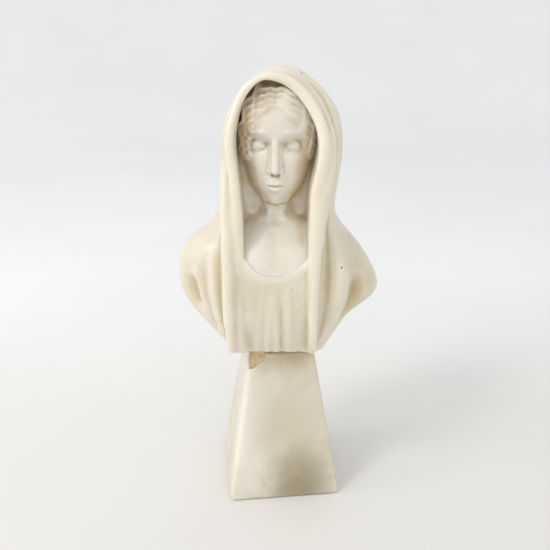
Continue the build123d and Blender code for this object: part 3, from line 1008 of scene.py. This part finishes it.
def mixColour(tree, factor, first, second, blend="MIX"):
    mixer = tree.nodes.new("ShaderNodeMix")
    mixer.data_type = "RGBA"
    mixer.blend_type = blend
    for index, value in ((0, factor), (6, first), (7, second)):  # the factor and the two colour sockets
        if isinstance(value, bpy.types.NodeSocket):
            tree.links.new(value, mixer.inputs[index])
        else:
            mixer.inputs[index].default_value = (*value, 1) if isinstance(value, tuple) else value
    return mixer.outputs[2]


def mathNode(tree, operation, first, second, clamped=True):
    made = tree.nodes.new("ShaderNodeMath")
    made.operation = operation
    made.use_clamp = clamped
    for index, value in enumerate((first, second)):
        if isinstance(value, bpy.types.NodeSocket):
            tree.links.new(value, made.inputs[index])
        else:
            made.inputs[index].default_value = value
    return made.outputs[0]


def bumpNode(tree, height, strength, distance, after=None):
    inputs = {"Height": height, "Strength": strength, "Distance": distance}
    if after is not None:
        inputs["Normal"] = after
    return addNode(tree, "Bump", inputs).outputs["Normal"]


def stone(name, look):
    material, tree, shader = newMaterial(name)
    place = addNode(tree, "TexCoord").outputs["Object"]
    hollow = addNode(tree, "Attribute", attribute_name="hollow").outputs["Fac"]
    clouds = rangeNode(tree, noiseNode(tree, place, look["cloudScale"], 5, 0.6, 0.6), 0.36, 0.66)
    colour = mixColour(tree, clouds, look["colour"], look["cloud"])
    haze = rangeNode(tree, noiseNode(tree, place, look["cloudScale"] * 2.7, 4, 0.5, 0.3), 0.4, 0.7)
    colour = mixColour(tree, mathNode(tree, "MULTIPLY", haze, look["hazeAmount"]), colour, look["haze"])
    veins = noiseNode(tree, place, look["veinScale"], 6, 0.6, 1.4)
    across = rangeNode(tree, mathNode(tree, "ABSOLUTE", mathNode(tree, "SUBTRACT", veins, 0.5,
        clamped=False), 0), 0.0, look["veinWidth"], 1, 0)
    patchy = rangeNode(tree, noiseNode(tree, place, look["veinScale"] * 0.6, 2), 0.45, 0.62)
    across = mathNode(tree, "MULTIPLY", mathNode(tree, "MULTIPLY", across, patchy), look["veinAmount"])
    colour = mixColour(tree, across, colour, look["vein"])
    # colour patches from the look's list: real stains and clouds in the stone, and patches of painted
    # shade, painted shadow and painted glow
    for at, size, stir, amount, tint in look["stainsAndPaintedLight"]:
        inputs = {"Vector": place, "Location": at, "Scale": size}
        moved = addNode(tree, "Mapping", inputs, vector_type="TEXTURE")
        stirred = noiseNode(tree, place, stir, 4, 0.6, 0.5)
        ball = addNode(tree, "TexGradient", {"Vector": moved.outputs["Vector"]},
                       gradient_type="SPHERICAL").outputs["Fac"]
        spread = mathNode(tree, "ADD", ball, rangeNode(tree, stirred, 0.3, 0.7, 0, 0.2))
        spread = mathNode(tree, "MULTIPLY", rangeNode(tree, spread, 0.15, 1.05), amount)
        colour = mixColour(tree, spread, colour, tint)
    # painted shade: deep in folds, hollows and sockets the colour is pulled, in blotches, towards the
    # look's hollow colour
    foldShade = rangeNode(tree, hollow, 0.52, 0.95, 0, look["hollowShadeAmount"])
    blotchy = rangeNode(tree, noiseNode(tree, place, 60, 4), 0.3, 0.7, 0.6, 1)
    colour = mixColour(tree, mathNode(tree, "MULTIPLY", foldShade, blotchy), colour, look["hollow"])
    # painted shade: where the folds hide the sky, the colour is pulled towards the look's shelter colour
    if look["shelterAmount"]:
        shelter = addNode(tree, "Attribute", attribute_name="shelter").outputs["Fac"]
        shelterShade = mathNode(tree, "MULTIPLY", rangeNode(tree, shelter, look["shelterFrom"], 0.85, 0,
            look["shelterAmount"]), blotchy)
        colour = mixColour(tree, shelterShade, colour, look["shelter"])
    # painted highlight: proud edges and ridges are made paler, towards the look's edge colour
    edgeHighlight = rangeNode(tree, hollow, 0.48, 0.1, 0, look["edgeHighlightAmount"])
    colour = mixColour(tree, edgeHighlight, colour, look["edge"])
    speckle = rangeNode(tree, noiseNode(tree, place, 1100, 2), 0.62, 0.72, 0, look["speckleAmount"])
    colour = mixColour(tree, speckle, colour, look["vein"])
    pits = addNode(tree, "TexVoronoi", {"Vector": place, "Scale": look["pitScale"],
                                        "Randomness": 1.0}).outputs["Distance"]
    rare = rangeNode(tree, noiseNode(tree, place, look["pitScale"] * 0.31, 2), 0.68, 0.72)
    pitted = mathNode(tree, "MULTIPLY", rangeNode(tree, pits, look["pitSize"], look["pitSize"] * 0.4),
                      rare)
    colour = mixColour(tree, mathNode(tree, "MULTIPLY", pitted, 0.75), colour, look["pit"])
    tree.links.new(colour, shader.inputs["Base Color"])

    handled = rangeNode(tree, noiseNode(tree, place, 70, 5, 0.65), 0.3, 0.7, look["gloss"][0],
                        look["gloss"][1])
    dull = mathNode(tree, "ADD", handled, rangeNode(tree, hollow, 0.55, 0.95, 0, 0.22))
    tree.links.new(mathNode(tree, "ADD", dull, mathNode(tree, "MULTIPLY", pitted, 0.4)),
                   shader.inputs["Roughness"])
    stretched = addNode(tree, "Mapping", {"Vector": place, "Rotation": (0.3, 0.5, 0.2),
                                          "Scale": (900, 900, 60)})
    rasped = noiseNode(tree, stretched.outputs["Vector"], 1, 3)
    normal = bumpNode(tree, rasped, look["raspAmount"], 0.00012)
    normal = bumpNode(tree, noiseNode(tree, place, 260, 4), look["skinAmount"], 0.0004, normal)
    normal = bumpNode(tree, mathNode(tree, "SUBTRACT", 1, pitted), look["pitDepth"], 0.0005, normal)
    tree.links.new(normal, shader.inputs["Normal"])
    shader.inputs["Subsurface Weight"].default_value = look["depthOfLight"]
    shader.inputs["Subsurface Radius"].default_value = (1.0, 0.76, 0.55)
    shader.inputs["Subsurface Scale"].default_value = look["lightReach"]
    shader.inputs["Coat Weight"].default_value = look["polish"]
    shader.inputs["Coat Roughness"].default_value = 0.12
    return material


torsoLook = {
    "colour": (0.735, 0.675, 0.545), "cloud": (0.795, 0.75, 0.64), "haze": (0.69, 0.60, 0.44),
    "hazeAmount": 0.3,
    "cloudScale": 26, "vein": (0.60, 0.47, 0.30), "veinScale": 11, "veinWidth": 0.05,
    "veinAmount": 0.12,
    # painted shade: hollow is painted deep in folds and shelter where the folds hide the sky; painted
    # highlight: edge is painted on proud ridges
    "hollow": (0.52, 0.41, 0.22), "hollowShadeAmount": 0.75, "edge": (0.83, 0.795, 0.71), "edgeHighlightAmount": 0.5,
    "shelter": (0.57, 0.42, 0.22), "shelterAmount": 0.95, "shelterFrom": 0.38,
    "speckleAmount": 0.06, "pitScale": 260, "pitSize": 0.16, "pit": (0.18, 0.12, 0.06), "pitDepth": 0.7,
    "gloss": (0.3, 0.46), "raspAmount": 0.2, "skinAmount": 0.14, "depthOfLight": 0.75,
    "lightReach": 0.006, "polish": 0.1,
    # where, how large, how stirred, how strong and what colour: painted shade in the hollows of both
    # shoulders and on the shaded upper right shoulder
    "stainsAndPaintedLight": [
        ((0.053, -0.036, 0.166), (0.022, 0.045, 0.044), 40, 0.7, (0.57, 0.48, 0.27)),
        ((-0.066, -0.024, 0.166), (0.015, 0.04, 0.034), 40, 0.6, (0.62, 0.53, 0.31)),
        ((0.052, -0.025, 0.205), (0.022, 0.04, 0.034), 30, 0.35, (0.60, 0.55, 0.44)),
    ],
}
headLook = {
    **torsoLook,
    "colour": (0.745, 0.70, 0.605), "cloud": (0.805, 0.775, 0.705), "haze": (0.68, 0.61, 0.50),
    "hazeAmount": 0.3,
    # painted shade: hollow is painted deep in folds and sockets and shelter where the hood hides the
    # sky; painted highlight: edge is painted on proud ridges
    "hollow": (0.38, 0.27, 0.14), "hollowShadeAmount": 0.8, "edge": (0.83, 0.80, 0.73),
    "vein": (0.55, 0.48, 0.38),
    "shelter": (0.56, 0.41, 0.23), "shelterAmount": 0.75, "shelterFrom": 0.34,
    "gloss": (0.36, 0.52), "depthOfLight": 0.5, "lightReach": 0.0025, "polish": 0.05,
    "stainsAndPaintedLight": [  # painted shade on the hair under the hood, most of it on the left, and the painted shade of the throat
        ((-0.017, -0.02, 0.302), (0.02, 0.03, 0.014), 90, 0.85, (0.42, 0.31, 0.19)),
        ((-0.025, -0.018, 0.285), (0.012, 0.03, 0.022), 90, 0.7, (0.50, 0.36, 0.20)),
        ((0.012, -0.02, 0.300), (0.018, 0.03, 0.012), 90, 0.45, (0.50, 0.40, 0.28)),
        ((-0.004, -0.012, 0.238), (0.03, 0.022, 0.014), 60, 0.6, (0.56, 0.47, 0.34)),
    ],
}
pedestalLook = {
    **torsoLook,
    "colour": (0.685, 0.635, 0.525), "cloud": (0.75, 0.71, 0.61), "haze": (0.60, 0.55, 0.42),
    "hazeAmount": 0.4,
    "cloudScale": 19, "vein": (0.50, 0.43, 0.31), "veinScale": 9, "veinAmount": 0.25,
    "shelterAmount": 0,
    # painted shade: hollow is painted in the chip, nicks and scratches; painted highlight: edge is
    # painted faintly on proud edges
    "hollow": (0.60, 0.49, 0.32), "hollowShadeAmount": 0.6, "edge": (0.78, 0.74, 0.65), "edgeHighlightAmount": 0.1,
    "pitDepth": 0.05,
    "gloss": (0.3, 0.42), "raspAmount": 0.0, "skinAmount": 0.015, "depthOfLight": 0.6, "polish": 0.1,
    "stainsAndPaintedLight": [  # the painted glow of light on the left side, the dark cloud, the middle, and the painted shadow of the bust along the top
        ((-0.036, -0.038, 0.058), (0.034, 0.042, 0.088), 22, 0.9, (0.875, 0.85, 0.775)),
        ((0.011, -0.043, 0.006), (0.036, 0.038, 0.053), 26, 0.92, (0.34, 0.28, 0.175)),
        ((0.006, -0.036, 0.055), (0.036, 0.035, 0.06), 30, 0.3, (0.56, 0.495, 0.35)),
        ((0.001, -0.026, 0.119), (0.046, 0.02, 0.024), 70, 0.95, (0.47, 0.38, 0.23)),
    ],
}


def masticMaterial():
    material, tree, shader = newMaterial("old_mastic_amber")
    place = addNode(tree, "TexCoord").outputs["Object"]
    hollow = addNode(tree, "Attribute", attribute_name="hollow").outputs["Fac"]
    amber = rangeNode(tree, noiseNode(tree, place, 130, 3, 0.5, 0.3), 0.38, 0.62)
    colour = mixColour(tree, amber, (0.50, 0.33, 0.16), (0.62, 0.46, 0.27))
    pale = rangeNode(tree, noiseNode(tree, place, 170, 2), 0.46, 0.66, 0, 0.7)
    colour = mixColour(tree, pale, colour, (0.70, 0.60, 0.44))
    # painted shade: the mastic is darkened almost to black in its hollows
    colour = mixColour(tree, rangeNode(tree, hollow, 0.5, 0.95, 0, 0.8), colour, (0.07, 0.035, 0.012))
    tree.links.new(colour, shader.inputs["Base Color"])
    tree.links.new(rangeNode(tree, noiseNode(tree, place, 400, 3), 0.3, 0.7, 0.35, 0.65),
                   shader.inputs["Roughness"])
    normal = bumpNode(tree, noiseNode(tree, place, 900, 4), 0.5, 0.0003)
    tree.links.new(normal, shader.inputs["Normal"])
    return material


def plasterMaterial(name, dark, light, dust):
    material, tree, shader = newMaterial(name)
    place = addNode(tree, "TexCoord").outputs["Object"]
    tone = rangeNode(tree, noiseNode(tree, place, 120, 5), 0.35, 0.65)
    colour = mixColour(tree, tone, dark, light)
    dusty = rangeNode(tree, noiseNode(tree, place, 35, 3), 0.5, 0.7, 0, 0.4)
    tree.links.new(mixColour(tree, dusty, colour, dust), shader.inputs["Base Color"])
    tree.links.new(rangeNode(tree, tone, 0, 1, 0.75, 0.92), shader.inputs["Roughness"])
    scraped = addNode(tree, "Mapping", {"Vector": place, "Scale": (1500, 90, 400)})
    normal = bumpNode(tree, noiseNode(tree, scraped.outputs["Vector"], 1, 3), 0.5, 0.0002)
    normal = bumpNode(tree, noiseNode(tree, place, 800, 3), 0.4, 0.0003, normal)
    tree.links.new(normal, shader.inputs["Normal"])
    return material


def metalMaterial(name, bright, dull, stain, roughness):
    material, tree, shader = newMaterial(name)
    place = addNode(tree, "TexCoord").outputs["Object"]
    tone = rangeNode(tree, noiseNode(tree, place, 180, 5), 0.35, 0.65)
    colour = mixColour(tree, tone, bright, dull)
    blotchy = rangeNode(tree, noiseNode(tree, place, 300, 5, 0.7), 0.54, 0.68, 0, 0.85)
    tree.links.new(mixColour(tree, blotchy, colour, stain), shader.inputs["Base Color"])
    tree.links.new(rangeNode(tree, blotchy, 0, 0.85, 1, 0.25), shader.inputs["Metallic"])
    tree.links.new(rangeNode(tree, blotchy, 0, 0.85, roughness, 0.8), shader.inputs["Roughness"])
    drawn = addNode(tree, "Mapping", {"Vector": place, "Scale": (2200, 2200, 120)})
    normal = bumpNode(tree, noiseNode(tree, drawn.outputs["Vector"], 1, 3), 0.4, 0.0001)
    normal = bumpNode(tree, noiseNode(tree, place, 900, 3), 0.3, 0.0002, normal)
    tree.links.new(normal, shader.inputs["Normal"])
    return material


def coat(piece, material):
    piece.data.materials.clear()
    piece.data.materials.append(material)


coat(torso, stone("cream_alabaster", torsoLook))
coat(head, stone("white_marble", headLook))
coat(pedestal, stone("clouded_alabaster", pedestalLook))
coat(bed, masticMaterial())
steel = metalMaterial("rusted_steel", (0.42, 0.40, 0.38), (0.26, 0.24, 0.22), (0.20, 0.09, 0.04), 0.42)
brass = metalMaterial("drawn_brass", (0.72, 0.55, 0.28), (0.55, 0.40, 0.18), (0.24, 0.17, 0.08), 0.33)
plaster = plasterMaterial("scraped_plaster", (0.74, 0.70, 0.62), (0.86, 0.84, 0.79), (0.55, 0.48, 0.38))
# painted shade: the plaster bed is tinted warm brown, as the shaded socket beside the neck looks
shadedPlaster = plasterMaterial("plaster_painted_shade", (0.58, 0.42, 0.23), (0.70, 0.55, 0.34),
                                 (0.36, 0.24, 0.12))
hidden = {
    "fixing_rod": steel, "rod_washer": steel, "rod_nut": steel, "head_dowel": brass,
    "pedestal_plaster_plug": plaster, "rod_anchor_plaster": plaster, "head_plaster_bed": shadedPlaster,
}
for name, material in hidden.items():
    coat(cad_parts[name], material)
print("materials laid on")


# floor, light and camera
studio = {
    "floor": 3.0,
    "bend": 1.6,  # how far behind the bust the floor begins to rise
    "paper": (0.90, 0.905, 0.905),
    # painted shade: the paper is darker and warmer towards the front, paler behind
    "paperFrontShade": (0.785, 0.772, 0.745),
    "fade": (-0.14, 0.5),  # where the paper's tone changes from front to back
    "sky": (0.985, 0.99, 1.0, 1.0),
    "skyStrength": 0.82,
    "lights": [  # where, how wide, how strong and what colour
        ("key", (-1.45, -0.85, 1.95), 0.75, 17.0, (1.0, 0.985, 0.96)),
        ("second", (-1.9, -0.1, 1.1), 0.6, 5.5, (1.0, 0.985, 0.96)),
        ("fill", (0.35, -1.4, 0.6), 1.0, 2.4, (1.0, 1.0, 0.99)),
    ],
    "camera": (-0.0542, -0.4577, 0.3429),
    "look": -20.5,
    "lens": 42.7,
}


def layFloor():  # one sheet of paper that rises gently behind the bust
    bpy.ops.object.select_all(action="DESELECT")
    bpy.ops.mesh.primitive_grid_add(x_subdivisions=120, y_subdivisions=120, size=studio["floor"] * 2)
    floor = bpy.context.object
    floor.name = "studio_floor"
    points = readPoints(floor.data)
    past = np.maximum(np.hypot(points[:, 0], points[:, 1]) - studio["bend"], 0)
    points[:, 2] = past**2 * 0.6
    writePoints(floor.data, points)
    bpy.ops.object.shade_smooth()
    material, tree, shader = newMaterial("pale_paper")
    place = addNode(tree, "TexCoord").outputs["Object"]
    tone = rangeNode(tree, noiseNode(tree, place, 3, 3), 0.3, 0.7)
    back = addNode(tree, "SeparateXYZ", {"Vector": place}).outputs["Y"]
    # painted shade: the paper darkens and warms towards the front
    paper = mixColour(tree, rangeNode(tree, back, *studio["fade"]), studio["paperFrontShade"],
                      studio["paper"])
    paper = mixColour(tree, mathNode(tree, "MULTIPLY", tone, 0.03), paper, (0.0, 0.0, 0.0))
    tree.links.new(paper, shader.inputs["Base Color"])
    shader.inputs["Roughness"].default_value = 0.85
    coat(floor, material)


def hangLight(name, place, size, power, colour):
    light = bpy.data.lights.new(name, "AREA")
    light.shape = "DISK"
    light.size = size
    light.energy = power
    light.color = colour
    lamp = bpy.data.objects.new(name, light)
    lamp.location = place
    lamp.rotation_euler = (Vector((0, 0, 0.2)) - Vector(place)).to_track_quat("-Z", "Y").to_euler()
    bpy.context.scene.collection.objects.link(lamp)


def setCamera():
    lens = bpy.data.cameras.new("camera")
    lens.lens = studio["lens"]
    lens.sensor_width = 36
    camera = bpy.data.objects.new("camera", lens)
    camera.location = studio["camera"]
    camera.rotation_euler = (math.radians(90 + studio["look"]), 0, bustTurn)
    bpy.context.scene.collection.objects.link(camera)
    bpy.context.scene.camera = camera


layFloor()
world = bpy.data.worlds.new("studio")
world.use_nodes = True
world.node_tree.nodes["Background"].inputs["Color"].default_value = studio["sky"]
world.node_tree.nodes["Background"].inputs["Strength"].default_value = studio["skyStrength"]
bpy.context.scene.world = world
for settings in studio["lights"]:
    hangLight(*settings)
setCamera()
bpy.context.scene.view_settings.view_transform = "Standard"
print("studio set")
